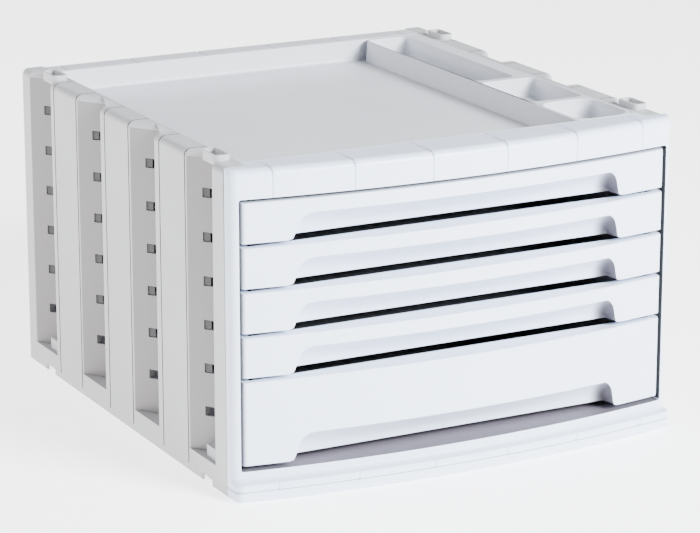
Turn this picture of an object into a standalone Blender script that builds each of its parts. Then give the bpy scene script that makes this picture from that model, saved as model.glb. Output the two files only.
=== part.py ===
"""Desktop file sorter: a plastic drawer cabinet with four slim drawers, one deep drawer,
a paper tray and a small-parts organiser on top. Metres, +Z up, front faces -Y, standing on z = 0."""

import math

import bmesh
import bpy

# Overall size
WIDTH = 0.335
RIM_Z = 0.222
SOCKET_RISE = 0.004
BODY_DEPTH = 0.3425
BOW = 0.015
FACE_OUT = 0.0093
LIP_OUT = 0.0159
GAP = 0.0003

HALF_W = WIDTH / 2
DEPTH = BODY_DEPTH + LIP_OUT + BOW
SEAM_Y = LIP_OUT + BOW - DEPTH / 2
BACK_Y = DEPTH / 2

# Walls and edges
WALL = 0.002
EDGE_R = 0.0045
GROOVE_W = 0.001
GROOVE_D = 0.0008
GROOVE_PITCH = 0.0559
GROOVE_XS = [(k - 2.5) * GROOVE_PITCH for k in range(6)]

# Front frame
POST_W = 0.0055
OPEN_LOW = 0.0195
OPEN_HIGH = 0.2025
BASE_TOP = 0.0071
LIP_TOP = 0.0120
STEP_TOP = 0.0150
RAIL_SKIN = 0.0025

# Side panels
PANEL_T = 0.0155
NOTCH_D = 0.0135
NOTCH_MOUTHS = [(0.0178, 0.0580), (0.1078, 0.1490), (0.1990, 0.2405), (0.2890, 0.3295)]
NOTCH_SLOPE = 1.48
NOTCH_ROUND = 0.0035
LEDGE_TOP = 0.0165
LEDGE_T = 0.002
RIB_BANDS = [(0.0595, 0.1000), (0.1510, 0.1914), (0.2420, 0.2826)]
RIB_GROOVE_LOW = 0.0053
SIDE_ROUND = 0.0048
CAP_T = 0.0045
SKIRT_T = 0.001
WINDOW_X = (0.0071, 0.0125)
WINDOW_H = 0.0066
WINDOW_LOW = 0.0445
WINDOW_ROWS = 6

# Drawers, measured from the front bottoms
PITCH = 0.030
SLIM_LOW = [0.1725, 0.1425, 0.1125, 0.0825]
SLIM_H = 0.028
DEEP_LOW = 0.0225
DEEP_H = 0.058
WINDOW_DROP = 0.006
FRONT_SIDE_GAP = 0.002
FRONT_BACK = 0.0006
FRONT_ROUND = 0.0015
BAND_H = 0.0105
GRIP_X = (-0.1275, 0.1250)
GRIP_CORNER_X = 0.014
GRIP_BACK = 0.0032
GRIP_FOOT = 0.0012
DEEP_GRIP_H = 0.0190

# Drawer trays and runners
TRAY_SIDE = 0.0243
TRAY_BACK = 0.3320
TRAY_FLOOR_LIFT = 0.0012
TRAY_RIM_DROP = 0.0030
FLANGE_T = 0.0022
FLANGE_OUT = 0.0204
STOP_OUT = 0.0183
STOP_Y = 0.2585
RUNNER_T = 0.0018
RUNNER_Y = (0.004, 0.336)
RUNNER_LIP = 0.0222
RUNNER_STOP = 0.0200
SHELF_T = 0.0020
CLIP_X = (0.0076, 0.0106)
CLIP_T = 0.0020
CLIP_H = 0.0056
CLIP_ARM_H = 0.0048
CLIP_SUNK = 0.0006

# Top tray and organiser
TRAY_WALL = 0.0017
TRAY_Y = (0.0076, 0.3207)
PAPER_FLOOR = 0.2062
PAPER_SKIN = 0.0020
TRAY_CORNER = 0.009
INSERT_LEFT = 0.1008
INSERT_FLOOR = 0.2085
POCKET_PEN = ((0.1032, 0.1370), (0.1500, 0.3150))
POCKET_STAPLER = ((0.1032, 0.1473), (0.0735, 0.1430))
POCKET_PIN = ((0.1050, 0.1473), (0.0120, 0.0665))
POCKET_CORNERS = (0.006, 0.006, 0.012)

INSERT_RECESS = 0.0006

# Stacking sockets and feet, placed from the front of the first and last channels
STACK_MOUTHS = (NOTCH_MOUTHS[0][0], NOTCH_MOUTHS[3][0])
STACK_X = (0.0029, 0.0132)
STACK_Y = (0.0003, 0.0227)
STACK_R = 0.004
SOCKET_LOW = 0.219
SOCKET_WALL = 0.0012
SOCKET_FLOOR = 0.2205
SOCKET_ROOT = 0.001
FOOT_TOP = 0.025
FOOT_INSET = 0.0015
FOOT_SLOT_H = 0.005
FOOT_SLOT_Y = (0.0048, 0.0210)

WHITE = (0.78, 0.80, 0.84)
GREY = (0.60, 0.61, 0.65)


def clear_scene():
    for obj in list(bpy.data.objects):
        bpy.data.objects.remove(obj, do_unlink=True)


def new_collection(name):
    made = bpy.data.collections.new(name)
    bpy.context.scene.collection.children.link(made)
    return made


def plastic(name, colour, roughness):
    made = bpy.data.materials.new(name)
    made.use_nodes = True
    shader = made.node_tree.nodes["Principled BSDF"]
    shader.inputs["Base Color"].default_value = (*colour, 1.0)
    shader.inputs["Roughness"].default_value = roughness
    shader.inputs["Metallic"].default_value = 0.0
    return made


def add(name, mesh, collection):
    obj = bpy.data.objects.new(name, mesh)
    collection.objects.link(obj)
    return obj


def mesh_from(name, build):
    """A mesh that build() fills in as a bmesh, closed and with its faces turned outwards."""
    work = bmesh.new()
    build(work)
    bmesh.ops.recalc_face_normals(work, faces=work.faces)
    made = bpy.data.meshes.new(name)
    work.to_mesh(made)
    work.free()
    return made


def loft(rings):
    """A solid through closed rings that all have the same number of points."""

    def build(work):
        loops = [[work.verts.new(point) for point in ring] for ring in rings]
        for near, far in zip(loops, loops[1:]):
            for i in range(len(near)):
                j = (i + 1) % len(near)
                work.faces.new((near[i], near[j], far[j], far[i]))
        work.faces.new(loops[0][::-1])
        work.faces.new(loops[-1])

    return mesh_from("loft", build)


def prism(outline, low, high):
    """An outline in plan, drawn as one face and extruded from one height to another."""

    def build(work):
        face = work.faces.new([work.verts.new((x, y, low)) for x, y in outline])
        grown = bmesh.ops.extrude_face_region(work, geom=[face], use_keep_orig=True)["geom"]
        raised = [item for item in grown if isinstance(item, bmesh.types.BMVert)]
        bmesh.ops.translate(work, verts=raised, vec=(0, 0, high - low))

    return mesh_from("prism", build)


def box(x0, x1, y0, y1, z0, z1):
    """A block between two corners."""

    def build(work):
        for corner in bmesh.ops.create_cube(work, size=1.0)["verts"]:
            x, y, z = corner.co
            corner.co = (x0 if x < 0 else x1, y0 if y < 0 else y1, z0 if z < 0 else z1)

    return mesh_from("box", build)


def arc(centre, radius, start, end, steps):
    """Points of an arc in a plane, from one angle to another in degrees."""
    points = []
    for k in range(steps + 1):
        angle = math.radians(start + (end - start) * k / steps)
        points.append((centre[0] + radius * math.cos(angle), centre[1] + radius * math.sin(angle)))
    return points


def rounded(x0, x1, y0, y1, radius, steps=5):
    """A rectangle in plan with round corners."""
    corners = (((x1 - radius, y0 + radius), -90), ((x1 - radius, y1 - radius), 0),
               ((x0 + radius, y1 - radius), 90), ((x0 + radius, y0 + radius), 180))
    points = []
    for centre, start in corners:
        points += arc(centre, radius, start, start + 90, steps)
    return points


class Maker:
    """Keeps the collections, and joins or cuts one object with others."""

    def __init__(self):
        self.parts = new_collection("desktop_file_sorter")
        self.cutters = new_collection("cutters")

    def node(self, name, mesh, material):
        obj = add(name, mesh, self.parts)
        obj.data.materials.append(material)
        return obj

    def helper(self, mesh):
        obj = add("cutter", mesh, self.cutters)
        obj.hide_render = True
        obj.display_type = "WIRE"
        return obj

    def shape(self, obj, meshes, operation):
        for mesh in meshes:
            step = obj.modifiers.new(operation.lower(), "BOOLEAN")
            step.operation = operation
            step.solver = "EXACT"
            step.object = self.helper(mesh)

    def cut(self, obj, meshes):
        self.shape(obj, meshes, "DIFFERENCE")

    def join(self, obj, meshes):
        self.shape(obj, meshes, "UNION")


def across(side, x):
    """The x of a point a given way in from the left (side -1) or right (side 1) outer plane."""
    return side * (HALF_W - x)


def bar(side, xs, ys, zs):
    """A block placed by how far in from the outer plane, back from the seam and up it reaches."""
    low, high = sorted((across(side, xs[0]), across(side, xs[1])))
    return box(low, high, SEAM_Y + ys[0], SEAM_Y + ys[1], zs[0], zs[1])


def plan(side, shape):
    """Points given as (in from the outer plane, back from the seam), placed in the model."""
    return [(across(side, x), SEAM_Y + y) for x, y in shape]


def bowed(x, out):
    """The y of the bowed front at x, standing out by `out` at the ends."""
    return SEAM_Y - out - BOW * (1 - (x / HALF_W) ** 2)


def faced(x, out, half, radius):
    """The bowed front with its two vertical end edges rounded."""
    near = max(0.0, radius - (half - abs(x)))
    return bowed(x, out) + radius - math.sqrt(radius ** 2 - near ** 2)


def stations(half, radius, count=22, grooves=()):
    """The x positions at which a bowed piece has a ring."""
    xs = set()
    for k in range(count + 1):
        xs.add(round(-(half - radius) + 2 * (half - radius) * k / count, 6))
    for k in range(4):
        inset = radius * (1 - math.cos(math.radians(90 * k / 4)))
        xs.update((round(half - inset, 6), round(inset - half, 6)))
    for x in grooves:
        xs = {old for old in xs if abs(old - x) > 2 * GROOVE_W}
        xs.update((x - 0.7 * GROOVE_W, x - 0.4 * GROOVE_W, x + 0.4 * GROOVE_W, x + 0.7 * GROOVE_W))
    return sorted(xs)


def sunk(value, grooves):
    """How far the surface sinks at a position, from its list of groove centres."""
    return GROOVE_D if any(abs(value - at) < 0.5 * GROOVE_W for at in grooves) else 0.0


def front_frame(make, material):
    """The bowed front moulding: two posts, the grooved top rail and the grooved bottom lip."""
    rings = []
    for x in stations(HALF_W, EDGE_R, grooves=GROOVE_XS):
        sink = sunk(x, GROOVE_XS)
        face = faced(x, FACE_OUT, HALF_W, EDGE_R)
        lip = faced(x, LIP_OUT, HALF_W, EDGE_R) + sink
        top = RIM_Z - sink
        edge = arc((face + sink + EDGE_R, top - EDGE_R), EDGE_R, 180, 90, 5)
        ring = [(SEAM_Y - GAP, BASE_TOP + GAP), (lip, BASE_TOP + GAP), (lip, LIP_TOP)]
        ring += [(face + (lip - face) * 0.35, (LIP_TOP + STEP_TOP) / 2), (face, STEP_TOP)]
        ring += [(face, OPEN_HIGH), (face + sink, OPEN_HIGH + GROOVE_D)]
        ring += edge + [(SEAM_Y - GAP, top)]
        rings.append([(x, y, z) for y, z in ring])
    frame = make.node("front_frame", loft(rings), material)
    inner = HALF_W - PANEL_T - GAP
    shelf = box(-inner, inner, SEAM_Y - 0.002, SEAM_Y + TRAY_Y[0] - GAP, RIM_Z - 0.010, RIM_Z)
    make.join(frame, [shelf])
    opening = box(POST_W - HALF_W, HALF_W - POST_W, SEAM_Y - 0.06, SEAM_Y + 0.03, OPEN_LOW, OPEN_HIGH)
    pocket = []
    span = HALF_W - 2 * POST_W
    for k in range(13):
        x = -span + 2 * span * k / 12
        front = bowed(x, FACE_OUT) + RAIL_SKIN
        back = SEAM_Y - 2 * RAIL_SKIN
        low, high = OPEN_HIGH - 0.004, RIM_Z - RAIL_SKIN
        pocket.append([(x, front, low), (x, back, low), (x, back, high), (x, front, high)])
    seams = []
    for x in GROOVE_XS:
        reach = (x - GROOVE_W / 2, x + GROOVE_W / 2, SEAM_Y - 0.003, SEAM_Y + 0.01)
        seams.append(box(*reach, RIM_Z - GROOVE_D, RIM_Z + 0.002))
    make.cut(frame, [opening, loft(pocket)] + seams)


def base_plate(make, material):
    """The bottom moulding: a bowed lip in front and a raised floor between the side panels."""
    outline = [(HALF_W, SEAM_Y - GAP), (-HALF_W, SEAM_Y - GAP)]
    for x in stations(HALF_W, EDGE_R):
        outline.append((x, faced(x, LIP_OUT, HALF_W, EDGE_R)))
    base = make.node("base_plate", prism(outline, 0.0, BASE_TOP), material)
    inner = HALF_W - PANEL_T - GAP
    back = SEAM_Y + BODY_DEPTH - 0.0033
    floor_top = OPEN_LOW - 0.0005
    make.join(base, [box(-inner, inner, SEAM_Y - 0.004, back, 0.0, BASE_TOP)])
    make.join(base, [box(-inner, inner, SEAM_Y, back, BASE_TOP - 0.002, floor_top)])
    pocket = box(0.003 - inner, inner - 0.003, SEAM_Y + 0.003, back - 0.003, -0.01, floor_top - 0.0025)
    make.cut(base, [pocket])


def side_profile(sink):
    """The side panel seen from the front, as (distance in from the outer plane, height)."""
    points = [(PANEL_T, 0.0), (0.0, 0.0), (0.0, RIB_GROOVE_LOW), (sink, RIB_GROOVE_LOW + 0.0005)]
    shoulder = (sink + SIDE_ROUND, RIM_Z - sink - SIDE_ROUND)
    return points + arc(shoulder, SIDE_ROUND, 180, 90, 5) + [(PANEL_T, RIM_Z - sink)]


def slant(corner, x, behind=0.0):
    """How far back a channel's slanting rear wall is at x, or a surface some way behind it."""
    return corner - NOTCH_SLOPE * x + behind * math.hypot(1, NOTCH_SLOPE)


def channel(side, mouth):
    """A side channel: a square front wall and a rear wall that slants in and forwards."""
    low, corner = mouth
    turn = math.atan(1 / NOTCH_SLOPE)
    tangent = corner + NOTCH_ROUND * math.tan(turn / 2)
    start = 180 + math.degrees(turn)
    shape = [(-0.002, low), (NOTCH_D, low), (NOTCH_D, slant(corner, NOTCH_D))]
    shape += arc((NOTCH_ROUND, tangent), NOTCH_ROUND, start, 180, 4) + [(-0.002, tangent)]
    return prism(plan(side, shape), LEDGE_TOP, RIM_Z + 0.01)


def side_panel(make, name, side, material):
    """A ribbed side wall, open on its inner face, with channels, clip windows and sockets."""
    grooves = [y for band in RIB_BANDS for y in band]
    ys = [0.0, BODY_DEPTH]
    for y in grooves:
        ys += [y - 0.7 * GROOVE_W, y - 0.4 * GROOVE_W, y + 0.4 * GROOVE_W, y + 0.7 * GROOVE_W]
    rings = []
    for y in sorted(ys):
        ring = side_profile(sunk(y, grooves))
        rings.append([(across(side, x), SEAM_Y + y, z) for x, z in ring])
    panel = make.node(name, loft(rings), material)
    make.cut(panel, [channel(side, mouth) for mouth in NOTCH_MOUTHS])
    make.cut(panel, hollows(side) + windows(side) + foot_room(side))
    sockets, wells = [], []
    for low in STACK_MOUTHS:
        sockets.append(prism(post_plan(side, low, 0.0, SOCKET_ROOT), SOCKET_LOW, RIM_Z + SOCKET_RISE))
        wells.append(prism(post_plan(side, low, SOCKET_WALL), SOCKET_FLOOR, RIM_Z + 0.01))
    make.join(panel, sockets)
    make.cut(panel, wells)


def hollows(side):
    """What is open behind the panel's skin: one hollow in each rib, and the skirt under the ledges."""
    corners = [None] + [corner for _, corner in NOTCH_MOUTHS]
    ends = [low for low, _ in NOTCH_MOUTHS] + [BODY_DEPTH]
    deep = PANEL_T + 0.002
    made = []
    for corner, low in zip(corners, ends):
        if corner is None:
            shape = [(deep, WALL), (WALL, WALL)]
        else:
            shape = [(deep, slant(corner, deep, WALL)), (WALL, slant(corner, WALL, WALL))]
        shape += [(WALL, low - WALL), (deep, low - WALL)]
        made.append(prism(plan(side, shape), -0.01, RIM_Z - CAP_T))
    made.append(bar(side, (WALL, deep), (SKIRT_T, BODY_DEPTH - SKIRT_T), (-0.012, LEDGE_TOP - LEDGE_T)))
    return made


def windows(side):
    """Square windows for the runner clips in the slanting wall of each channel."""
    made = []
    for _, corner in NOTCH_MOUTHS:
        reach = (slant(corner, WINDOW_X[1]) - 0.001, slant(corner, WINDOW_X[0], WALL) + 0.001)
        for row in range(WINDOW_ROWS):
            z = WINDOW_LOW + row * PITCH
            made.append(bar(side, WINDOW_X, reach, (z - WINDOW_H / 2, z + WINDOW_H / 2)))
    return made


def post_plan(side, low, inset, root=0.0):
    """The oblong of a stacking socket or foot in plan, with its root reaching into the walls."""
    x0, x1 = sorted((across(side, STACK_X[0] + inset), across(side, STACK_X[1] - inset + root)))
    near, far = SEAM_Y + low + STACK_Y[0] + inset - root, SEAM_Y + low + STACK_Y[1] - inset
    return rounded(x0, x1, near, far, STACK_R - inset)


def foot_room(side):
    """Holes in the ledges for the feet, and the slots beside them in the bottom edge."""
    made = []
    for low in STACK_MOUTHS:
        made.append(prism(post_plan(side, low, FOOT_INSET - GAP), 0.010, LEDGE_TOP + 0.001))
        reach = (low + FOOT_SLOT_Y[0], low + FOOT_SLOT_Y[1])
        made.append(bar(side, (-0.002, WALL + 0.001), reach, (-0.016, FOOT_SLOT_H)))
    return made


def foot(make, name, side, low, material):
    """A foot: its boss stands on a channel's ledge and its stem reaches down to the desk."""
    made = make.node(name, prism(post_plan(side, low, FOOT_INSET), 0.0, LEDGE_TOP + 0.001), material)
    make.join(made, [prism(post_plan(side, low, GAP), LEDGE_TOP + GAP, FOOT_TOP)])


def back_panel(make, material):
    """The back wall, turned forwards at its top into a grooved rim."""
    inner = HALF_W - PANEL_T - GAP
    outer, near = SEAM_Y + BODY_DEPTH, SEAM_Y + TRAY_Y[1] + GAP
    xs = [-inner, inner]
    for x in GROOVE_XS:
        xs += [x - 0.7 * GROOVE_W, x - 0.4 * GROOVE_W, x + 0.4 * GROOVE_W, x + 0.7 * GROOVE_W]
    rings = []
    for x in sorted(xs):
        sink = sunk(x, GROOVE_XS)
        top = RIM_Z - sink
        ring = [(near, RIM_Z - 0.003), (near, top)]
        ring += arc((outer - EDGE_R, top - EDGE_R), EDGE_R, 90, 0, 5)
        ring += [(outer, 0.0), (outer - 0.003, 0.0), (outer - 0.003, RIM_Z - 0.003)]
        rings.append([(x, y, z) for y, z in ring])
    make.node("back_panel", loft(rings), material)


def top_tray(make, material):
    """The shallow paper tray set in the top of the cabinet."""
    inner = HALF_W - PANEL_T - GAP
    low, high = SEAM_Y + TRAY_Y[0], SEAM_Y + TRAY_Y[1]
    tray = make.node("top_tray", box(-inner, inner, low, high, PAPER_FLOOR - PAPER_SKIN, RIM_Z), material)
    well = rounded(TRAY_WALL - inner, inner - TRAY_WALL, low + TRAY_WALL, high - TRAY_WALL, TRAY_CORNER)
    make.cut(tray, [prism(well, PAPER_FLOOR, RIM_Z + 0.01)])
    seat = rounded(INSERT_LEFT - GAP, inner - TRAY_WALL, low + TRAY_WALL, high - TRAY_WALL, TRAY_CORNER)
    make.cut(tray, [prism(seat, PAPER_FLOOR - INSERT_RECESS, PAPER_FLOOR + 0.001)])


def organiser(make, material):
    """The organiser with its pen, stapler and pin pockets, set in the right of the paper tray."""
    inner = HALF_W - PANEL_T - GAP - TRAY_WALL - GAP
    low, high = SEAM_Y + TRAY_Y[0] + TRAY_WALL + GAP, SEAM_Y + TRAY_Y[1] - TRAY_WALL - GAP
    seat = PAPER_FLOOR - INSERT_RECESS + GAP
    base = rounded(INSERT_LEFT, inner, low, high, TRAY_CORNER)
    crown = [(x + (0.0015 if x < inner - 0.02 else 0.0), y) for x, y in base]
    rings = [[(x, y, seat) for x, y in base], [(x, y, RIM_Z) for x, y in crown]]
    insert = make.node("organiser_insert", loft(rings), material)
    pockets = []
    for (xs, ys), corner in zip((POCKET_PEN, POCKET_STAPLER, POCKET_PIN), POCKET_CORNERS):
        plan = rounded(xs[0], xs[1], SEAM_Y + ys[0], SEAM_Y + ys[1], corner)
        pockets.append(prism(plan, INSERT_FLOOR, RIM_Z + 0.01))
    make.cut(insert, pockets)


def drawer_front(make, name, low, height, grip_height, material):
    """A bowed drawer front with a scooped finger grip along its bottom."""
    half = HALF_W - POST_W - FRONT_SIDE_GAP
    top = low + height
    rings = []
    for x in stations(half, FRONT_ROUND, count=20):
        face = faced(x, FACE_OUT, half, FRONT_ROUND)
        back = SEAM_Y - FRONT_BACK
        ring = [(back, low), (face + 0.0006, low), (face, low + 0.0006), (face, top - 0.0006)]
        ring += [(face + 0.0006, top), (back, top)]
        rings.append([(x, y, z) for y, z in ring])
    front = make.node(name, loft(rings), material)
    make.cut(front, [finger_grip(low, grip_height)])


def finger_grip(low, height):
    """The scoop under the front band: it sweeps back and down to a straight edge."""
    x0, x1 = GRIP_X
    xs = []
    for k in range(6):
        inset = GRIP_CORNER_X * (1 - math.cos(math.radians(90 * k / 5)))
        xs += [x0 + inset, x1 - inset]
    for k in range(1, 12):
        xs.append(x0 + GRIP_CORNER_X + (x1 - x0 - 2 * GRIP_CORNER_X) * k / 12)
    rings = []
    for x in sorted(set(round(x, 6) for x in xs)):
        near = max(0.0, GRIP_CORNER_X - (x - x0), GRIP_CORNER_X - (x1 - x))
        share = math.sqrt(max(0.0, 1 - (near / GRIP_CORNER_X) ** 2))
        roof = low + GRIP_FOOT + (height - GRIP_FOOT) * (0.12 + 0.88 * share)
        face, back = bowed(x, FACE_OUT), SEAM_Y - GRIP_BACK
        ring = [(face - 0.01, low - 0.01), (face - 0.01, roof), (face, roof)]
        for k in range(1, 6):
            angle = math.radians(90 * k / 5)
            y = face + (back - face) * math.sin(angle)
            z = low + GRIP_FOOT + (roof - low - GRIP_FOOT) * (0.35 * math.cos(angle) + 0.65 * (1 - k / 5))
            ring.append((y, z))
        ring.append((back, low - 0.01))
        rings.append([(x, y, z) for y, z in ring])
    return loft(rings)


def drawer_tray(make, name, low, height, material):
    """A drawer tray, hung from two side flanges that ride in the runners."""
    top = low + height - TRAY_RIM_DROP
    half = HALF_W - TRAY_SIDE
    near, far = SEAM_Y - FRONT_BACK + GAP, SEAM_Y + TRAY_BACK
    bottom = low + TRAY_FLOOR_LIFT
    tray = make.node(name, box(-half, half, near, far, bottom, top), material)
    joined = []
    for side in (-1, 1):
        for out, start in ((FLANGE_OUT, 0.010), (STOP_OUT, STOP_Y)):
            x0, x1 = sorted((across(side, out), across(side, TRAY_SIDE + 0.001)))
            joined.append(box(x0, x1, SEAM_Y + start, far - 0.001, top - FLANGE_T, top))
    make.join(tray, joined)
    well = rounded(WALL - half, half - WALL, near + WALL, far - WALL, 0.004, 3)
    make.cut(tray, [prism(well, bottom + WALL, top + 0.01)])


def runner(make, name, side, top, material):
    """A channel rail that clips through the side panel's windows and carries a drawer flange."""
    z_shelf = top - WINDOW_DROP + 0.0005
    z_lip = top - TRAY_RIM_DROP + GAP
    z_low, z_high = z_shelf - SHELF_T, z_lip + 0.0015
    wall = PANEL_T + GAP
    root = wall + 0.001
    rail = make.node(name, bar(side, (wall, wall + RUNNER_T), RUNNER_Y, (z_low, z_high)), material)
    stop = (RUNNER_Y[0], RUNNER_Y[0] + 0.0035)
    make.join(rail, [
        bar(side, (root, TRAY_SIDE - GAP), RUNNER_Y, (z_low, z_shelf)),
        bar(side, (root, RUNNER_LIP), RUNNER_Y, (z_lip, z_high)),
        bar(side, (root, RUNNER_STOP), stop, (z_low + 0.0005, z_high - 0.0005)),
    ])
    z_clip = top - WINDOW_DROP
    for _, corner in NOTCH_MOUTHS:
        make.join(rail, clip(side, corner, z_clip, root))


def clip(side, corner, z, root):
    """One clip of a runner: an arm out through the rib, and a tongue that fills its window."""
    arm = slant(corner, CLIP_X[0], WALL) + 2 * GAP
    made = [bar(side, (CLIP_X[0], root), (arm, arm + CLIP_T), (z - CLIP_ARM_H / 2, z + CLIP_ARM_H / 2))]
    shape = [(CLIP_X[0], slant(corner, CLIP_X[0], CLIP_SUNK)), (CLIP_X[1], slant(corner, CLIP_X[1], CLIP_SUNK))]
    shape += [(CLIP_X[1], arm + CLIP_T / 2), (CLIP_X[0], arm + CLIP_T / 2)]
    made.append(prism(plan(side, shape), z - CLIP_H / 2, z + CLIP_H / 2))
    return made


def build():
    clear_scene()
    make = Maker()
    front_frame(make, plastic("white_frame", WHITE, 0.35))
    base_plate(make, plastic("grey_base", GREY, 0.45))
    for name, side in (("left", -1), ("right", 1)):
        side_panel(make, f"{name}_side_panel", side, plastic(f"grey_{name}_side", GREY, 0.45))
        for place, low in zip(("front", "rear"), STACK_MOUTHS):
            spot = f"{name}_{place}_foot"
            foot(make, spot, side, low, plastic(f"grey_{spot}", GREY, 0.45))
    back_panel(make, plastic("grey_back", GREY, 0.45))
    top_tray(make, plastic("grey_top_tray", GREY, 0.4))
    organiser(make, plastic("grey_organiser", GREY, 0.4))
    levels = [(low, SLIM_H, SLIM_H - BAND_H) for low in SLIM_LOW] + [(DEEP_LOW, DEEP_H, DEEP_GRIP_H)]
    for number, (low, height, grip) in enumerate(levels, 1):
        white, grey = plastic(f"white_front_{number}", WHITE, 0.35), plastic(f"grey_tray_{number}", GREY, 0.45)
        drawer_front(make, f"drawer_{number}_front", low, height, grip, white)
        drawer_tray(make, f"drawer_{number}_tray", low, height, grey)
        for name, side in (("left", -1), ("right", 1)):
            rail = f"runner_{number}_{name}"
            runner(make, rail, side, low + height, plastic(f"grey_{rail}", GREY, 0.5))


build()
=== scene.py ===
import math

import bmesh
import bpy
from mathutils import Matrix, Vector


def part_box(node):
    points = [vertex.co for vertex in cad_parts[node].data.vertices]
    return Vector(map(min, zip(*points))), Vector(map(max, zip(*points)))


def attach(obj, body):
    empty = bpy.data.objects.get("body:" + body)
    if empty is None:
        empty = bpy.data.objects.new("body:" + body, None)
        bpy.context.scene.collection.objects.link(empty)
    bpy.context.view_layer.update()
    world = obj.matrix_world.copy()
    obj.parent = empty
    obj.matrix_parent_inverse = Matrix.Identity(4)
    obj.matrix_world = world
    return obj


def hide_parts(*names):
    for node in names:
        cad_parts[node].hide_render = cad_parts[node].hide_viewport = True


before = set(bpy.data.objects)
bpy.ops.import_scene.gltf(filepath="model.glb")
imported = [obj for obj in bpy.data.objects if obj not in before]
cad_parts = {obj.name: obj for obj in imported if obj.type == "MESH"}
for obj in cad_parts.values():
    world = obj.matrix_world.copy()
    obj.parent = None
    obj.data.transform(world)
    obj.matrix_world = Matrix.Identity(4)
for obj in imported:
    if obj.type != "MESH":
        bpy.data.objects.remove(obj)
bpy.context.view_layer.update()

# ---------------------------------------------------------------- places read from the frame
side_low, side_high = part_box("left_side_panel")
front_low, front_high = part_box("front_frame")
base_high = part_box("base_plate")[1]
tray_low, tray_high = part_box("top_tray")
back_low, back_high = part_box("back_panel")
organiser_low, organiser_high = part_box("organiser_insert")
HALF_W = front_high.x
SEAM_Y = side_low.y
BODY_DEPTH = side_high.y - side_low.y
RIM_Z = front_high.z
PANEL_T = side_high.x - side_low.x
BASE_TOP = front_low.z

# ---------------------------------------------------------------- shape, in metres and mostly as in the CAD
GAP = 0.0003
WALL = 0.002
CLOSE = 0.0001  # how near a face has to be to a place to be picked
SHARP = math.radians(32)  # edges bent more than this stay edges

# the bowed front: how far its faces stand out from the seam at the ends, and its edges
BOW = 0.015
FACE_OUT = 0.0093
LIP_OUT = 0.0159
EDGE_R = 0.0050
LIP_R = 0.0050
LIP_TOP = 0.0125
STEP_TOP = 0.0155
GROOVE_W = 0.0010
GROOVE_D = 0.0008
GROOVE_XS = [(k - 2.5) * 0.0559 for k in range(6)]
GROOVE_SHARES = (-1.0, -0.55, -0.25, 0.25, 0.55, 1.0)
POST_W = 0.0055
OPEN_LOW = 0.0195
OPEN_HIGH = 0.2025
OPEN_R = 0.0016
SHELF_T = 0.010
SEAM_W = 0.0010
RAIL_WALL = 0.0025
RAIL_BACK = 0.005
RAIL_DROP = 0.004

# the ribbed sides: distances in from the outer plane (X), back from the seam (Y) and up (Z)
NOTCH_D = 0.0135
NOTCHES = [(0.0178, 0.0580), (0.1078, 0.1490), (0.1990, 0.2405), (0.2890, 0.3295)]
SLOPE = 1.48
NOTCH_ROUND = 0.0035
LEDGE_TOP = 0.0165
LEDGE_T = 0.002
SIDE_ROUND = 0.0050
BANDS = [(0.0595, 0.1000), (0.1510, 0.1914), (0.2420, 0.2826)]
LINE_W = 0.0012
LINE_LOW = 0.0053
WINDOW_X = (0.0071, 0.0125)
WINDOW_H = 0.0066
WINDOW_Z = [0.0445 + 0.030 * k for k in range(6)]
TONGUE_X = (0.0076, 0.0104)
TONGUE_T = 0.0040
TONGUE_BACK = 0.0005

# stacking sockets above the sides' front and rear channels, and feet under them
STACK_LOWS = (NOTCHES[0][0], NOTCHES[3][0])
STACK_X = (0.0029, 0.0132)
STACK_Y = (0.0003, 0.0227)
STACK_R = 0.004
SOCKET_TOP = side_high.z
SOCKET_LOW = 0.219
SOCKET_WALL = 0.0012
SOCKET_FLOOR = 0.2205
STEM_INSET = 0.0015
FOOT_TOP = 0.0250

# the top: X and Y ranges of the organiser's wells, back from the seam, and their corner radius
TOP_R = 0.009
TRAY_WALL = 0.0017
ORGANISER_WELLS = (
    (0.1032, 0.1370, 0.1500, 0.3150, 0.006),
    (0.1032, 0.1473, 0.0735, 0.1430, 0.006),
    (0.1050, 0.1473, 0.0120, 0.0665, 0.012),
)

# the drawers: grip ends as (distance from the end, share of the full height)
SLIM_GRIP = 0.0178
DEEP_GRIP = 0.0190
GRIP_X = (-0.1275, 0.1228)
GRIP_LEFT = [(0.0, 0.0), (0.0012, 0.07), (0.0024, 0.20), (0.0036, 0.37), (0.0048, 0.56), (0.0060, 0.70),
             (0.0076, 0.82), (0.0096, 0.90), (0.0120, 0.955), (0.0145, 0.99), (0.0170, 1.0)]
GRIP_RIGHT = [(0.0, 0.0), (0.0012, 0.03), (0.0022, 0.09), (0.0030, 0.20), (0.0036, 0.38), (0.0042, 0.55),
              (0.0050, 0.70), (0.0062, 0.82), (0.0078, 0.92), (0.0094, 0.98), (0.0110, 1.0)]
GRIP_LIP = 0.0008
FRONT_R = 0.0022
FRONT_SOFT = 0.0012
FRONT_LIFT = 0.0004
REBATE_D = 0.0060
REBATE_H = 0.0040
REBATE_IN = 0.006
DRAWER_IN = 0.0243
FLANGE_T = 0.0022
FLANGES = ((0.0204, 0.010), (0.0183, 0.2585))  # in from the outer plane, back from the seam


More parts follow.
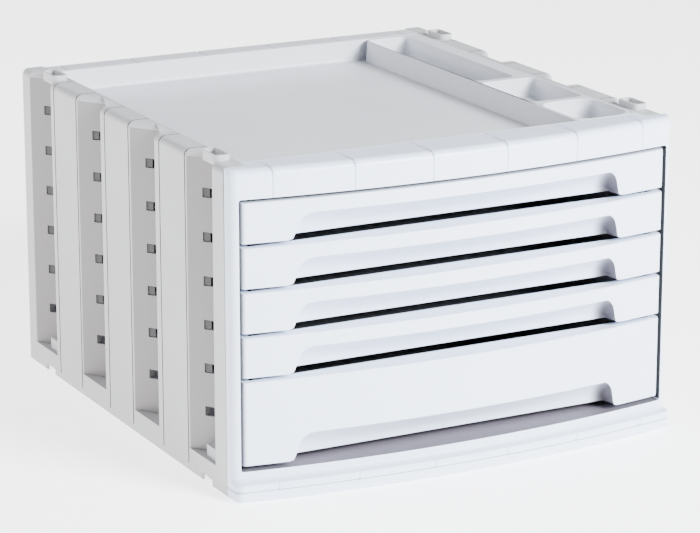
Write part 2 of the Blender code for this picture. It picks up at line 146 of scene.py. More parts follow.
# ---------------------------------------------------------------- materials
def moulded(name, colour, rough, grain=0.10, spread=0.012):
    """Injection-moulded plastic: faint cloudy colour, a fine spark-eroded grain and a sheen in patches."""
    made = bpy.data.materials.new(name)
    made.use_nodes = True
    tree = made.node_tree
    nodes, links = tree.nodes, tree.links
    shader = nodes["Principled BSDF"]
    place = nodes.new("ShaderNodeTexCoord")

    cloud = nodes.new("ShaderNodeTexNoise")
    cloud.inputs["Scale"].default_value = 14.0
    cloud.inputs["Detail"].default_value = 3.0
    cloud.inputs["Roughness"].default_value = 0.55
    links.new(place.outputs["Object"], cloud.inputs["Vector"])
    ramp = nodes.new("ShaderNodeValToRGB")
    ramp.color_ramp.elements[0].position = 0.3
    ramp.color_ramp.elements[1].position = 0.7
    ramp.color_ramp.elements[0].color = (*[c * (1 - spread) for c in colour], 1)
    ramp.color_ramp.elements[1].color = (*[min(1.0, c * (1 + spread)) for c in colour], 1)
    links.new(cloud.outputs["Fac"], ramp.inputs["Fac"])

    speck = nodes.new("ShaderNodeTexNoise")
    speck.inputs["Scale"].default_value = 900.0
    speck.inputs["Detail"].default_value = 2.0
    links.new(place.outputs["Object"], speck.inputs["Vector"])
    tone = nodes.new("ShaderNodeMix")
    tone.data_type = "RGBA"
    tone.blend_type = "SOFT_LIGHT"
    tone.inputs["Factor"].default_value = 0.06
    links.new(ramp.outputs["Color"], tone.inputs["A"])
    links.new(speck.outputs["Color"], tone.inputs["B"])
    links.new(tone.outputs["Result"], shader.inputs["Base Color"])

    worn = nodes.new("ShaderNodeMapRange")
    worn.inputs["From Min"].default_value = 0.3
    worn.inputs["From Max"].default_value = 0.7
    worn.inputs["To Min"].default_value = rough - 0.04
    worn.inputs["To Max"].default_value = rough + 0.05
    scuff = nodes.new("ShaderNodeTexNoise")
    scuff.inputs["Scale"].default_value = 45.0
    scuff.inputs["Detail"].default_value = 4.0
    links.new(place.outputs["Object"], scuff.inputs["Vector"])
    links.new(scuff.outputs["Fac"], worn.inputs["Value"])
    links.new(worn.outputs["Result"], shader.inputs["Roughness"])

    pits = nodes.new("ShaderNodeTexNoise")
    pits.inputs["Scale"].default_value = 1600.0
    pits.inputs["Detail"].default_value = 3.0
    links.new(place.outputs["Object"], pits.inputs["Vector"])
    bump = nodes.new("ShaderNodeBump")
    bump.inputs["Strength"].default_value = grain
    bump.inputs["Distance"].default_value = 0.00012
    links.new(pits.outputs["Fac"], bump.inputs["Height"])
    links.new(bump.outputs["Normal"], shader.inputs["Normal"])
    shader.inputs["Metallic"].default_value = 0.0
    shader.inputs["IOR"].default_value = 1.50
    return made


def fading(name, colour, rough, grain, far, start, end):
    """The moulded plastic again, its colour changing to far between two places along X."""
    made = moulded(name, colour, rough, grain)
    nodes, links = made.node_tree.nodes, made.node_tree.links
    shader = nodes["Principled BSDF"]
    first = shader.inputs["Base Color"].links[0].from_socket
    place = nodes.new("ShaderNodeTexCoord")
    split = nodes.new("ShaderNodeSeparateXYZ")
    links.new(place.outputs["Object"], split.inputs["Vector"])
    share = nodes.new("ShaderNodeMapRange")
    share.interpolation_type = "SMOOTHSTEP"
    share.inputs["From Min"].default_value = start
    share.inputs["From Max"].default_value = end
    links.new(split.outputs["X"], share.inputs["Value"])
    blend = nodes.new("ShaderNodeMix")
    blend.data_type = "RGBA"
    links.new(share.outputs["Result"], blend.inputs["Factor"])
    links.new(first, blend.inputs["A"])
    blend.inputs["B"].default_value = (*far, 1)
    links.new(blend.outputs["Result"], shader.inputs["Base Color"])
    return made


WHITE_COLOUR = (0.655, 0.722, 0.865)
WHITE = moulded("white_moulding", WHITE_COLOUR, 0.36, 0.06)
SIDE = moulded("grey_side_moulding", (0.450, 0.452, 0.466), 0.50, 0.12)
RIM = moulded("grey_rim_moulding", (0.600, 0.615, 0.665), 0.42, 0.10)
INNER = moulded("grey_inner_moulding", (0.400, 0.400, 0.420), 0.52, 0.12)
# painted shade: near-black for the clip tongues seen through the side windows, standing in for their shade
CLIP_PAINTED_SHADE = moulded("clip_painted_shade", (0.085, 0.080, 0.082), 0.55, 0.12)
# painted shade: near-black for the runners, standing in for the shade inside the cabinet
RUNNER_PAINTED_SHADE = moulded("runner_painted_shade", (0.055, 0.052, 0.054), 0.55, 0.12)
# painted shade: a near-black finish for faces inside gaps and seams, where only shade falls
GAP_PAINTED_SHADE = moulded("gap_painted_shade", (0.030, 0.032, 0.036), 0.80, 0.05)
SHADE = moulded("shaded_ledge", (0.120, 0.108, 0.130), 0.65, 0.08)
# painted shade: a darker grey standing in for the shade in the channels
RECESS_PAINTED_SHADE = moulded("recess_painted_shade", (0.265, 0.250, 0.252), 0.55, 0.14)
GRIP_SHADE = (0.130, 0.120, 0.140)
# painted shade: the inside of the finger grip darkens to GRIP_SHADE towards its right end
GRIP_PAINTED_SHADE = fading("grip_painted_shade", WHITE_COLOUR, 0.36, 0.06, GRIP_SHADE,
                     GRIP_X[1] - 0.0165, GRIP_X[1] - 0.0045)
# painted shade: near-black in the fine grooves up the ribs and over their tops
GROOVE_PAINTED_SHADE = moulded("groove_painted_shade", (0.035, 0.034, 0.035), 0.70, 0.05)


# ---------------------------------------------------------------- mesh tools
def mesh_from(name, build):
    """A mesh of its own, filled by build(work)."""
    work = bmesh.new()
    build(work)
    bmesh.ops.recalc_face_normals(work, faces=work.faces)
    made = bpy.data.meshes.new(name)
    work.to_mesh(made)
    work.free()
    return made


def loft(rings):
    """A solid through closed rings that all have the same number of points."""

    def build(work):
        loops = [[work.verts.new(point) for point in ring] for ring in rings]
        for near, far in zip(loops, loops[1:]):
            for i in range(len(near)):
                j = (i + 1) % len(near)
                work.faces.new((near[i], near[j], far[j], far[i]))
        work.faces.new(loops[0][::-1])
        work.faces.new(loops[-1])

    return mesh_from("loft", build)


def prism(outline, low, high):
    """An outline in plan, raised from low to high."""
    return loft([[(x, y, z) for x, y in outline] for z in (low, high)])


def box(x0, x1, y0, y1, z0, z1):
    return prism([(x0, y0), (x1, y0), (x1, y1), (x0, y1)], z0, z1)


def arc(centre, radius, start, end, steps):
    """Points along an arc between two angles in degrees."""
    points = []
    for k in range(steps + 1):
        angle = math.radians(start + (end - start) * k / steps)
        points.append((centre[0] + radius * math.cos(angle), centre[1] + radius * math.sin(angle)))
    return points


def rounded(x0, x1, y0, y1, radius, steps=8):
    """A rectangle's outline with round corners."""
    corners = (((x1 - radius, y0 + radius), -90), ((x1 - radius, y1 - radius), 0),
               ((x0 + radius, y1 - radius), 90), ((x0 + radius, y0 + radius), 180))
    points = []
    for centre, start in corners:
        points += arc(centre, radius, start, start + 90, steps)
    return points


def piece(name, mesh, material, node, body, steps=(), bevel=0.0004, segments=2):
    """A finished piece: Booleans in order, fine rounded edges, smooth faces, and its place in the frame."""
    obj = bpy.data.objects.new(name, mesh)
    bpy.context.scene.collection.objects.link(obj)
    helpers = []
    for operation, other in steps:
        cutter = bpy.data.objects.new("cutter", other)
        bpy.context.scene.collection.objects.link(cutter)
        helpers.append(cutter)
        step = obj.modifiers.new(operation.lower(), "BOOLEAN")
        step.operation = operation
        step.solver = "EXACT"
        step.object = cutter
    bpy.context.view_layer.update()
    graph = bpy.context.evaluated_depsgraph_get()
    final = bpy.data.meshes.new_from_object(obj.evaluated_get(graph))
    obj.modifiers.clear()
    obj.data = final
    for cutter in helpers:
        bpy.data.objects.remove(cutter)
    work = bmesh.new()
    work.from_mesh(final)
    bmesh.ops.remove_doubles(work, verts=work.verts, dist=0.00002)
    bmesh.ops.dissolve_limit(work, angle_limit=math.radians(0.5), verts=work.verts, edges=work.edges)
    work.to_mesh(final)
    work.free()
    final.materials.clear()
    final.materials.append(material)
    for face in final.polygons:
        face.use_smooth = True
    if bevel:
        edge = obj.modifiers.new("edges", "BEVEL")
        edge.width = bevel
        edge.segments = segments
        edge.limit_method = "ANGLE"
        edge.angle_limit = SHARP
        edge.use_clamp_overlap = True
    final.set_sharp_from_angle(angle=SHARP)
    even = obj.modifiers.new("even_shading", "WEIGHTED_NORMAL")
    even.keep_sharp = True
    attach(obj, body)
    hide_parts(node)
    return obj


def finish(obj, material, chosen):
    """Give the faces that chosen(centre, normal) picks their own finish."""
    obj.data.materials.append(material)
    last = len(obj.data.materials) - 1
    for face in obj.data.polygons:
        if face.material_index == 0 and chosen(face.center, face.normal):
            face.material_index = last


# ---------------------------------------------------------------- the bowed front
def across(side, x):
    """X of a place x in from the outer plane of the left (-1) or right (1) side."""
    return side * (HALF_W - x)


def bowed(x, out):
    """Y of a face that bows forward and stands out by this much at its ends."""
    return SEAM_Y - out - BOW * (1 - (x / HALF_W) ** 2)


def faced(x, out, half, radius):
    """Y of a bowed face that rounds off at plus and minus half."""
    near = min(radius, max(0.0, radius - (half - abs(x))))
    return bowed(x, out) + radius - math.sqrt(radius ** 2 - near ** 2)


def stations(half, radius, count=48, grooves=()):
    """Where along X a bowed piece is cut into rings: evenly, finely round its ends, and at its grooves."""
    xs = set()
    for k in range(count + 1):
        xs.add(round(-(half - radius) + 2 * (half - radius) * k / count, 6))
    for k in range(7):
        inset = radius * (1 - math.cos(math.radians(90 * k / 7)))
        xs.update((round(half - inset, 6), round(inset - half, 6)))
    for x in grooves:
        xs = {old for old in xs if abs(old - x) > 1.6 * GROOVE_W}
        for share in GROOVE_SHARES:
            xs.add(round(x + share * GROOVE_W, 6))
    return sorted(xs)


def sunk(x):
    """How far the front and rear rims sink at x: a groove with softened sides at each place."""
    for at in GROOVE_XS:
        off = abs(x - at) / GROOVE_W
        if off < 0.3:
            return GROOVE_D
        if off < 0.6:
            return GROOVE_D * 0.6
    return 0.0


def frame_ring(x):
    """The front frame cut at x: lower lip, step, face, rounded rim."""
    sink = sunk(x)
    plain = faced(x, FACE_OUT, HALF_W, EDGE_R)
    face = plain + sink
    lip = faced(x, LIP_OUT, HALF_W, LIP_R) + sink
    top = RIM_Z - sink
    back = SEAM_Y - GAP
    ring = [(back, BASE_TOP), (lip + 0.0004, BASE_TOP), (lip, BASE_TOP + 0.0004), (lip, LIP_TOP - 0.0014)]
    ring += [(lip + 0.0004, LIP_TOP - 0.0004), (lip + 0.0014, LIP_TOP)]
    for k in range(1, 6):
        angle = math.radians(90 * k / 5)
        y = lip + 0.0014 + (plain - lip - 0.0014) * math.sin(angle)
        z = LIP_TOP + (STEP_TOP - LIP_TOP) * (1 - math.cos(angle))
        ring.append((y, z))
    ring += [(plain, OPEN_LOW), (plain, OPEN_HIGH), (face, OPEN_HIGH + 0.0006)]
    ring += arc((face + EDGE_R, top - EDGE_R), EDGE_R, 180, 90, 9)
    return ring + [(back, top)]


def front_frame():
    """The bowed frame with its shelf, grooves and opening, hollow behind the top rail, with painted shade in
    its gaps.
    """
    rings = [[(x, y, z) for y, z in frame_ring(x)] for x in stations(HALF_W, EDGE_R, grooves=GROOVE_XS)]
    inner = HALF_W - PANEL_T - GAP
    shelf = box(-inner, inner, SEAM_Y - 0.002, tray_low.y - GAP, RIM_Z - SHELF_T, RIM_Z)
    seams = []
    for x in GROOVE_XS:
        x0, x1 = x - SEAM_W / 2, x + SEAM_W / 2
        seams.append(box(x0, x1, SEAM_Y - 0.003, tray_low.y + 0.002, RIM_Z - GROOVE_D, RIM_Z + 0.002))
    opening = []
    for y in (SEAM_Y - 0.06, SEAM_Y + 0.03):
        outline = rounded(POST_W - HALF_W, HALF_W - POST_W, OPEN_LOW, OPEN_HIGH, OPEN_R, 4)
        opening.append([(x, y, z) for x, z in outline])
    inside_rail = []
    span = HALF_W - 2 * POST_W
    for k in range(17):
        x = -span + 2 * span * k / 16
        front, back = bowed(x, FACE_OUT) + RAIL_WALL, SEAM_Y - RAIL_BACK
        low, high = OPEN_HIGH - RAIL_DROP, RIM_Z - RAIL_WALL
        inside_rail.append([(x, front, low), (x, back, low), (x, back, high), (x, front, high)])
    steps = [("UNION", shelf), ("DIFFERENCE", loft(inside_rail)), ("DIFFERENCE", loft(opening))]
    steps += [("DIFFERENCE", seam) for seam in seams]
    shell = piece("front_frame_shell", loft(rings), WHITE, "front_frame", "cabinet", steps, 0.0005)
    inner = HALF_W - POST_W

    def seam(at, normal):
        behind = at.y > SEAM_Y - GAP - CLOSE and normal.y > 0.9
        return behind or (normal.z < -0.9 and at.z < BASE_TOP + 0.0005)

    def sides_and_rail(at, normal):
        beside = abs(abs(at.x) - inner) < CLOSE and OPEN_LOW < at.z < OPEN_HIGH and abs(normal.x) > 0.9
        above = abs(at.z - OPEN_HIGH) < CLOSE and normal.z < -0.9 and abs(at.x) < inner
        sunk_in = bowed(at.x, FACE_OUT) + RAIL_WALL - CLOSE < at.y < SEAM_Y - RAIL_BACK + CLOSE
        return beside or above or (sunk_in and OPEN_HIGH < at.z < RIM_Z - 0.0020 and abs(at.x) < inner)

    def sill(at, normal):
        return abs(at.z - OPEN_LOW) < CLOSE and normal.z > 0.9

    # painted shade on the hidden faces behind the seams with the sides and the base
    finish(shell, GAP_PAINTED_SHADE, seam)
    # painted shade on the opening's sides, the top rail's underside and the hollow inside it
    finish(shell, GAP_PAINTED_SHADE, sides_and_rail)
    finish(shell, SHADE, sill)


def base_plate():
    """The bottom moulding: the lower lip, and a floor with an open underside."""
    edge, wall = 0.0008, 0.003
    rings = []
    for z, inset in ((0.0, edge), (edge, 0.0), (BASE_TOP - GAP - 0.0006, 0.0), (BASE_TOP - GAP, 0.0006)):
        outline = [(HALF_W - inset, SEAM_Y - GAP), (inset - HALF_W, SEAM_Y - GAP)]
        for x in stations(HALF_W, LIP_R):
            outline.append((x * (1 - inset / HALF_W), faced(x, LIP_OUT, HALF_W, LIP_R) + inset))
        rings.append([(x, y, z) for x, y in outline])
    inner = HALF_W - PANEL_T - GAP
    back, top = base_high.y, base_high.z
    low = box(-inner, inner, SEAM_Y - 0.004, back, 0.0, BASE_TOP - GAP)
    floor = box(-inner, inner, SEAM_Y, back, BASE_TOP - 0.002, top)
    under = box(wall - inner, inner - wall, SEAM_Y + wall, back - wall, -0.01, top - 0.0025)
    steps = [("UNION", low), ("UNION", floor), ("DIFFERENCE", under)]
    shell = piece("base_shell", loft(rings), WHITE, "base_plate", "cabinet", steps, 0.0004)
    # painted shade on the base's upward faces that lie under the front frame
    finish(shell, GAP_PAINTED_SHADE, lambda at, normal: normal.z > 0.9 and at.z < BASE_TOP)
    finish(shell, SHADE, lambda at, normal: normal.z > 0.9 and at.z > top - 0.001)


# ---------------------------------------------------------------- ribbed sides
def plan(side, shape):
    """Points given as (in from the outer plane, back from the seam), placed in the frame."""
    return [(across(side, x), SEAM_Y + y) for x, y in shape]


def bar(side, xs, ys, zs):
    """A block placed by how far in from the outer plane, back from the seam and up it reaches."""
    low, high = sorted((across(side, xs[0]), across(side, xs[1])))
    return box(low, high, SEAM_Y + ys[0], SEAM_Y + ys[1], zs[0], zs[1])


def slant(corner, x, behind=0.0):
    """How far back a channel's slanting rear wall is at x, or a surface some way behind it."""
    return corner - SLOPE * x + behind * math.hypot(1, SLOPE)


def rolled(radius, steps=8):
    """Levels of an edge that rolls over into the top: (height below the top, inset) from the wall up."""
    angles = [math.radians(90 * k / steps) for k in range(steps + 1)]
    return [(radius * (1 - math.sin(a)), radius * (1 - math.cos(a))) for a in angles]


def channel(side, mouth):
    """A channel: a square front wall with fine edges, and a slanting rear wall that rolls over at its top."""
    low, corner = mouth
    edge = 0.0005
    spread = math.hypot(1, SLOPE) - SLOPE
    start = 180 + math.degrees(math.atan(1 / SLOPE))
    levels = [(RIM_Z - LEDGE_TOP, 0.0)] + rolled(SIDE_ROUND) + [(-0.01, SIDE_ROUND)]
    rings = []
    for down, inset in levels:
        turn = max(NOTCH_ROUND - inset, 0.0002)
        near = low - max(0.0, edge - max(down, 0.0))
        centre = (inset + turn, corner + (inset + turn) * spread)
        shape = [(-0.002, near - edge), (inset, near - edge), (inset + edge, near), (NOTCH_D, near)]
        shape += [(NOTCH_D, slant(corner, NOTCH_D, inset))]
        shape += arc(centre, turn, start, 180, 5) + [(-0.002, centre[1])]
        rings.append([(x, y, RIM_Z - down) for x, y in plan(side, shape)])
    return loft(rings)


def side_ring(side, y, inset):
    """The side seen from the front: flat outside, rolled over at the top."""
    shape = [(PANEL_T, 0.0), (inset + 0.0006, 0.0), (inset, 0.0006)]
    for down, more in rolled(SIDE_ROUND, 9):
        shape.append((inset + more, RIM_Z - inset - down))
    shape.append((PANEL_T, RIM_Z - inset))
    return [(across(side, x), SEAM_Y + y, z) for x, z in shape]


def hollows(side):
    """The open back of each rib, and the skirt under the ledges."""
    corners = [None] + [corner for _, corner in NOTCHES]
    ends = [low for low, _ in NOTCHES] + [BODY_DEPTH]
    deep = PANEL_T + 0.002
    made = []
    for corner, low in zip(corners, ends):
        if corner is None:
            shape = [(deep, WALL), (WALL, WALL)]
        else:
            shape = [(deep, slant(corner, deep, WALL)), (WALL, slant(corner, WALL, WALL))]
        shape += [(WALL, low - WALL), (deep, low - WALL)]
        made.append(prism(plan(side, shape), -0.01, RIM_Z - 0.0060))
    made.append(bar(side, (WALL, deep), (0.001, BODY_DEPTH - 0.001), (-0.012, LEDGE_TOP - LEDGE_T)))
    return made


def windows(side):
    """Square windows for the runner clips in the slanting walls."""
    made = []
    for _, corner in NOTCHES:
        reach = (slant(corner, WINDOW_X[1]) - 0.001, slant(corner, WINDOW_X[0], WALL) + 0.001)
        for z in WINDOW_Z:
            made.append(bar(side, WINDOW_X, reach, (z - WINDOW_H / 2, z + WINDOW_H / 2)))
    return made


def rib_groove(side, y):
    """A plate that cuts one fine groove up a rib and over its top."""
    path = [(-0.004, LINE_LOW), (GROOVE_D, LINE_LOW)]
    for down, more in rolled(SIDE_ROUND, 9):
        path.append((GROOVE_D + more, RIM_Z - GROOVE_D - down))
    path += [(PANEL_T + 0.001, RIM_Z - GROOVE_D), (PANEL_T + 0.001, RIM_Z + 0.003), (-0.004, RIM_Z + 0.003)]
    half = LINE_W / 2
    return loft([[(across(side, x), SEAM_Y + at, z) for x, z in path] for at in (y - half, y + half)])


def post_ring(side, low, inset, z, root=0.0):
    """One level of a stacking socket or foot: an oblong with round corners."""
    x0, x1 = sorted((across(side, STACK_X[0] + inset), across(side, STACK_X[1] - inset + root)))
    near, far = SEAM_Y + low + STACK_Y[0] + inset - root, SEAM_Y + low + STACK_Y[1] - inset
    return [(x, y, z) for x, y in rounded(x0, x1, near, far, STACK_R - inset)]


def post(side, low, levels, root=0.0):
    """An oblong post through levels of (height, inset)."""
    return loft([post_ring(side, low, inset, z, root) for z, inset in levels])


def side_panel(name, side, node):
    """A corrugated side: channels, windows, grooved ribs, sockets at the top and holes for the feet below."""
    edge = 0.0004
    ends = ((0.0, edge), (edge, 0.0), (BODY_DEPTH - edge, 0.0), (BODY_DEPTH, edge))
    skin = loft([side_ring(side, y, inset) for y, inset in ends])
    cuts = [channel(side, mouth) for mouth in NOTCHES] + hollows(side) + windows(side)
    cuts += [rib_groove(side, y) for band in BANDS for y in band]
    for low in STACK_LOWS:
        cuts.append(post(side, low, [(0.010, 0.0012), (LEDGE_TOP + 0.001, 0.0012)]))
        cuts.append(bar(side, (-0.002, WALL + 0.001), (low + 0.0048, low + 0.0210), (-0.016, 0.005)))
    steps = [("DIFFERENCE", cut) for cut in cuts]
    for low in STACK_LOWS:
        ring = [(SOCKET_LOW, 0.0003), (SOCKET_LOW + 0.0003, 0.0), (SOCKET_TOP - 0.0005, 0.0),
                (SOCKET_TOP - 0.00015, 0.00015), (SOCKET_TOP, 0.0005)]
        steps.append(("UNION", post(side, low, ring, 0.001)))
    for low in STACK_LOWS:
        well = [(SOCKET_FLOOR, SOCKET_WALL + 0.0006), (SOCKET_FLOOR + 0.0006, SOCKET_WALL),
                (SOCKET_TOP - 0.0003, SOCKET_WALL), (SOCKET_TOP + 0.0007, SOCKET_WALL - 0.001)]
        steps.append(("DIFFERENCE", post(side, low, well)))
    for _, corner in NOTCHES:
        front, z = slant(corner, TONGUE_X[0]) + TONGUE_BACK, WINDOW_Z[0]
        steps.append(("UNION", bar(side, TONGUE_X, (front, front + TONGUE_T), (z - 0.007, z + 0.0028))))
    shell = piece(name, skin, SIDE, node, "cabinet", steps, 0.0)
    steep = SLOPE / math.hypot(1, SLOPE)

    def slanting(at, normal):
        level = LEDGE_TOP < at.z < RIM_Z - 0.8 * SIDE_ROUND
        return level and abs(normal.z) < 0.3 and normal.y < -0.45 and side * normal.x > 0.7 * steep

    def in_groove(at, normal):
        return min(abs(at.y - SEAM_Y - y) for band in BANDS for y in band) < 0.51 * LINE_W

    def tongue(at, normal):
        into = HALF_W - side * at.x
        backs = [at.y - SEAM_Y - slant(corner, TONGUE_X[0]) - TONGUE_BACK for _, corner in NOTCHES]
        placed = TONGUE_X[0] - CLOSE < into < TONGUE_X[1] + CLOSE and 0.037 < at.z < 0.0475
        return placed and any(-CLOSE < back < TONGUE_T + CLOSE for back in backs)

    # painted shade on the sides' front faces, where they meet the front frame
    finish(shell, GAP_PAINTED_SHADE, lambda at, normal: at.y < SEAM_Y + CLOSE and normal.y < -0.9)
    # painted shade on the clip tongues behind the lowest windows
    finish(shell, CLIP_PAINTED_SHADE, tongue)
    # painted shade in the rib grooves
    finish(shell, GROOVE_PAINTED_SHADE, in_groove)
    # painted shade on the channels' slanting rear walls
    finish(shell, RECESS_PAINTED_SHADE, slanting)


def foot(spot, side, low):
    """A stacking foot: a stem through the ledge and a boss above it."""
    stem = [(0.0, STEM_INSET + 0.0010), (0.0010, STEM_INSET), (LEDGE_TOP + 0.001, STEM_INSET)]
    boss = [(LEDGE_TOP + GAP, GAP), (FOOT_TOP - 0.0007, GAP)]
    boss += [(FOOT_TOP - 0.0002, GAP + 0.0002), (FOOT_TOP, GAP + 0.0007)]
    steps = [("UNION", post(side, low, boss))]
    piece(f"{spot}_foot_shell", post(side, low, stem), SIDE, f"{spot}_foot", "cabinet", steps, 0.0)


def back_panel():
    """The back wall, with a rounded and grooved rim along its top."""
    wall = 0.003
    outer, near = back_high.y, back_low.y
    xs = [back_low.x, back_high.x]
    for x in GROOVE_XS:
        xs += [x + share * GROOVE_W for share in GROOVE_SHARES]
    rings = []
    for x in sorted(xs):
        sink = sunk(x)
        top = RIM_Z - sink
        ring = [(near, RIM_Z - wall), (near, top)]
        ring += arc((outer - EDGE_R, top - EDGE_R), EDGE_R, 90, 0, 8)
        ring += [(outer, 0.0), (outer - wall, 0.0), (outer - wall, RIM_Z - wall)]
        rings.append([(x, y, z) for y, z in ring])
    piece("back_shell", loft(rings), RIM, "back_panel", "cabinet", (), 0.0004)


# ---------------------------------------------------------------- top
def pocket(x0, x1, y0, y1, radius, low, high, fillet):
    """A well with round corners and a rounded foot."""
    rings = []
    for k in range(6):
        angle = math.radians(90 * k / 5)
        inset = fillet * (1 - math.sin(angle))
        outline = rounded(x0 + inset, x1 - inset, y0 + inset, y1 - inset, max(radius - inset, 0.001))
        rings.append([(x, y, low + fillet * (1 - math.cos(angle))) for x, y in outline])
    rings.append([(x, y, high) for x, y in rounded(x0, x1, y0, y1, radius)])
    return loft(rings)


def top_tray():
    """The paper tray in the cabinet's top."""
    solid = box(tray_low.x, tray_high.x, tray_low.y, tray_high.y, tray_low.z, tray_high.z)
    wall = TRAY_WALL
    well = pocket(tray_low.x + wall, tray_high.x - wall, tray_low.y + wall, tray_high.y - wall,
                  TOP_R, tray_low.z + WALL, RIM_Z + 0.01, WALL)
    piece("top_tray_shell", solid, RIM, "top_tray", "cabinet", [("DIFFERENCE", well)], 0.0004)


def organiser():
    """The insert with pockets for pens, a stapler and pins."""
    low, high = organiser_low, organiser_high
    base = rounded(low.x, high.x, low.y, high.y, TOP_R)
    crown = [(x + (0.0015 if x < high.x - 0.02 else 0.0), y) for x, y in base]
    solid = loft([[(x, y, low.z) for x, y in base], [(x, y, high.z) for x, y in crown]])
    steps = []
    for x0, x1, y0, y1, radius in ORGANISER_WELLS:
        well = pocket(x0, x1, SEAM_Y + y0, SEAM_Y + y1, radius, low.z + WALL, high.z + 0.01, 0.0025)
        steps.append(("DIFFERENCE", well))
    piece("organiser_shell", solid, RIM, "organiser_insert", "cabinet", steps, 0.0008, 3)


# ---------------------------------------------------------------- drawers
def grip_height(x, height):
    """How high the finger grip is at x: both ends flare, climb and turn over, the left in a wider arc."""
    for reach, ends in ((x - GRIP_X[0], GRIP_LEFT), (GRIP_X[1] - x, GRIP_RIGHT)):
        if reach < 0:
            return 0.0
        for (at, share), (after, more) in zip(ends, ends[1:]):
            if at <= reach < after:
                return height * (share + (more - share) * (reach - at) / (after - at))
    return height


def finger_grip(low, height, back):
    """The hollow cut for the fingers: open below and in front, curving back under its roof."""
    x0, x1 = GRIP_X
    start, end = x0 + GRIP_LEFT[-1][0], x1 - GRIP_RIGHT[-1][0]
    xs = [x0 - 0.0010, x1 + 0.0010] + [start + (end - start) * k / 24 for k in range(1, 24)]
    xs += [x0 + at for at, _ in GRIP_LEFT] + [x1 - at for at, _ in GRIP_RIGHT]
    rings = []
    for x in sorted(set(round(x, 6) for x in xs)):
        roof = low + max(0.0008, grip_height(x, height))
        face = bowed(x, FACE_OUT)
        inside = max(0.0, min(1.0, (x1 - x + 0.001) / 0.005, (x - x0 + 0.001) / 0.005))
        rear = face + (back - 0.0026 - face) * (0.2 + 0.8 * math.sin(math.radians(90 * inside)))
        foot = min(low + GRIP_LIP + 0.0012, roof - 0.0001)
        ring = [(face - 0.01, low - 0.01), (face - 0.01, roof), (face, roof)]
        for k in range(1, 13):
            angle = math.radians(90 * k / 12)
            y = face + (rear - face) * math.sin(angle)
            ring.append((y, roof + (foot - roof) * (1 - math.cos(angle)) ** 0.8))
        ring.append((rear, low - 0.01))
        rings.append([(x, y, z) for y, z in ring])
    return loft(rings)


def drawer_front(number, grip):
    """A bowed front with soft edges, a finger grip below and a rebate behind its top edge."""
    node = f"drawer_{number}_front"
    low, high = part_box(node)
    half, bottom, top, back = high.x - GAP, low.z + FRONT_LIFT, high.z - GAP, high.y
    soft = FRONT_SOFT
    rings = []
    for x in stations(half, FRONT_R, count=40):
        face = faced(x, FACE_OUT, half, FRONT_R)
        ring = [(back, bottom)] + arc((face + soft, bottom + soft), soft, 270, 180, 4)
        ring += arc((face + soft, top - soft), soft, 180, 90, 4) + [(back, top)]
        rings.append([(x, y, z) for y, z in ring])
    start, end = GRIP_X[0] + 0.0025, GRIP_X[1] - 0.0015
    lip = box(start, end, back - 0.03, back + 0.01, bottom - 0.01, bottom + GRIP_LIP)
    rebate = box(REBATE_IN - half, half - REBATE_IN, back - REBATE_D, back + 0.01, top - REBATE_H, top + 0.01)
    steps = [("DIFFERENCE", finger_grip(bottom, grip, back)), ("DIFFERENCE", lip), ("DIFFERENCE", rebate)]
    shell = piece(f"drawer_{number}_front_shell", loft(rings), WHITE, node, f"drawer_{number}", steps, 0.0005)

    def inside_grip(at, normal):
        behind_face = bowed(at.x, FACE_OUT) + 0.0002 < at.y < back - 0.0002
        return behind_face and GRIP_X[0] < at.x < GRIP_X[1] and at.z < bottom + grip + 0.0005

    # painted shade inside the finger grip, darker at its right end
    finish(shell, GRIP_PAINTED_SHADE, inside_grip)


def drawer_tray(number):
    """An open tray with a flange along each side, wider at the rear where it meets its stop."""
    node = f"drawer_{number}_tray"
    low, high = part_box(node)
    half = HALF_W - DRAWER_IN
    solid = box(-half, half, low.y, high.y, low.z, high.z)
    steps = []
    for side in (-1, 1):
        for inset, start in FLANGES:
            x0, x1 = sorted((across(side, inset), side * (half - 0.001)))
            steps.append(("UNION", box(x0, x1, SEAM_Y + start, high.y - 0.001, high.z - FLANGE_T, high.z)))
    inner, y0, y1 = half - WALL, low.y + WALL, high.y - WALL
    well = pocket(-inner, inner, y0, y1, 0.004, low.z + WALL, high.z + 0.01, WALL)
    steps.append(("DIFFERENCE", well))
    piece(f"drawer_{number}_tray_shell", solid, INNER, node, f"drawer_{number}", steps, 0.0004)


# ---------------------------------------------------------------- build
front_frame()
base_plate()
side_panel("left_side_shell", -1, "left_side_panel")
side_panel("right_side_shell", 1, "right_side_panel")
for hand, side in (("left", -1), ("right", 1)):
    for place, low in zip(("front", "rear"), STACK_LOWS):
        foot(f"{hand}_{place}", side, low)
back_panel()
top_tray()
organiser()
for number in range(1, 6):
    drawer_front(number, SLIM_GRIP if number < 5 else DEEP_GRIP)
    drawer_tray(number)
# the runners keep their CAD shape and get the near-black painted shade
for number in range(1, 6):
    for hand in ("left", "right"):
        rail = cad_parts[f"runner_{number}_{hand}"]
        rail.data.materials.clear()
        rail.data.materials.append(RUNNER_PAINTED_SHADE)
        rail.material_slots[0].material = RUNNER_PAINTED_SHADE

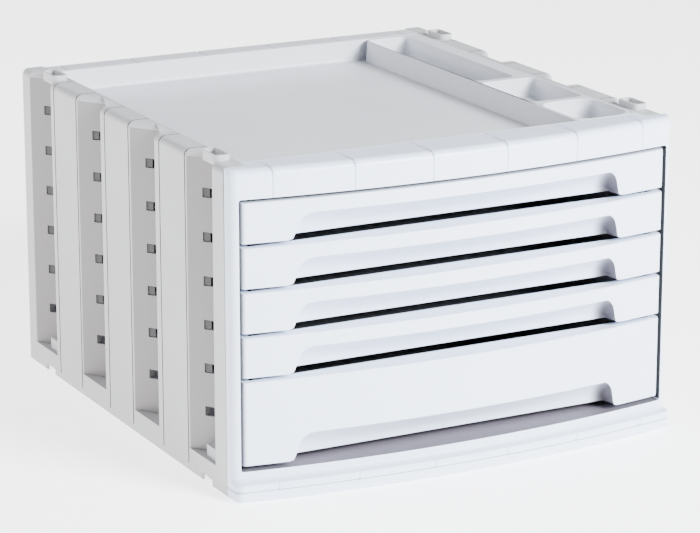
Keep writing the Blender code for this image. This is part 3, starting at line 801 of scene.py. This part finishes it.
# ---------------------------------------------------------------- floor, light and camera
floor_mesh = bpy.data.meshes.new("floor")
work = bmesh.new()
bmesh.ops.create_grid(work, x_segments=1, y_segments=1, size=6.0)
work.to_mesh(floor_mesh)
work.free()
floor = bpy.data.objects.new("floor", floor_mesh)
bpy.context.scene.collection.objects.link(floor)
floor.location = (0, 0, -0.0004)
paper = bpy.data.materials.new("floor_paper")
paper.use_nodes = True
sheet = paper.node_tree.nodes["Principled BSDF"]
sheet.inputs["Base Color"].default_value = (0.90, 0.90, 0.90, 1)
sheet.inputs["Roughness"].default_value = 0.9
sheet.inputs["Emission Color"].default_value = (1, 1, 1, 1)
sheet.inputs["Emission Strength"].default_value = 2.6
floor_mesh.materials.append(paper)

world = bpy.data.worlds.new("studio")
bpy.context.scene.world = world
world.use_nodes = True
world.node_tree.nodes["Background"].inputs["Color"].default_value = (0.97, 0.98, 1.0, 1)
world.node_tree.nodes["Background"].inputs["Strength"].default_value = 0.30


def lamp(name, place, size, power, colour=(1, 1, 1)):
    """A soft rectangular lamp that points at the middle of the cabinet."""
    data = bpy.data.lights.new(name, "AREA")
    data.shape = "RECTANGLE"
    data.size, data.size_y = size
    data.energy = power
    data.color = colour
    obj = bpy.data.objects.new(name, data)
    bpy.context.scene.collection.objects.link(obj)
    obj.location = place
    aim = Vector((0, 0, 0.11)) - Vector(place)
    obj.rotation_euler = aim.to_track_quat("-Z", "Y").to_euler()


lamp("key", (0.9, -2.1, 1.25), (1.0, 0.8), 275, (0.95, 0.98, 1.0))
lamp("side", (-2.2, 1.3, 1.0), (1.2, 1.0), 55)
lamp("top", (0.2, 1.6, 1.8), (1.8, 1.4), 20, (0.96, 0.98, 1.0))

camera = bpy.data.objects.new("camera", bpy.data.cameras.new("camera"))
bpy.context.scene.collection.objects.link(camera)
camera.data.lens = 156.06
camera.data.sensor_width = 36.0
camera.data.clip_start = 0.05
camera.location = (-0.9670, -1.8494, 0.6871)
down, turn = 0.276, 0.484
camera.rotation_euler = (math.pi / 2 - down, 0.0, -turn)
bpy.context.scene.camera = camera
